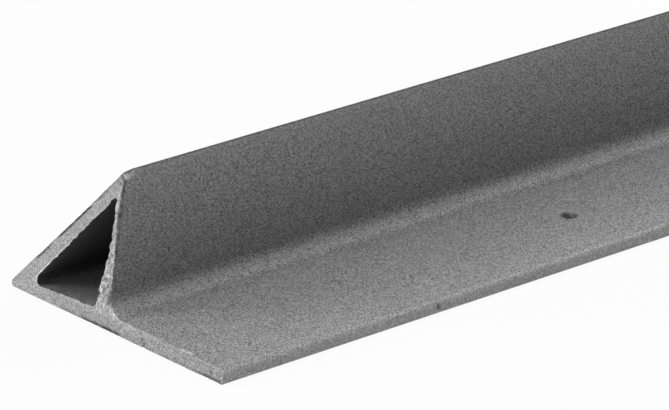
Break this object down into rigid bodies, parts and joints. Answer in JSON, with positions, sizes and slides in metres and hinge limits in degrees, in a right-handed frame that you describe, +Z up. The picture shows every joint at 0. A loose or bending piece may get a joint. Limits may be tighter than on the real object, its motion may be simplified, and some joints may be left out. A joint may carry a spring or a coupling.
{
  "type": "corner guard moulding",
  "caption": "Hollow right-angled triangular plastic moulding strip with a sloping face, an upright wall and a flat nailing flange in line with its base.",
  "frame": {"origin": "centre of the strip's width and length, at the underside of its flat base", "axes": "+X across the strip towards the flange's free edge, +Y along the strip away from the sawn near end, +Z up from the base towards the ridge"},
  "size_m": [0.0392, 1.2192, 0.019],
  "materials": {
    "grey_plastic": "matte, faintly mottled as extruded, paler and rougher where sawn"
  },
  "bodies": {
    "root": {"corner_moulding": "grey_plastic"}
  },
  "joints": []
}
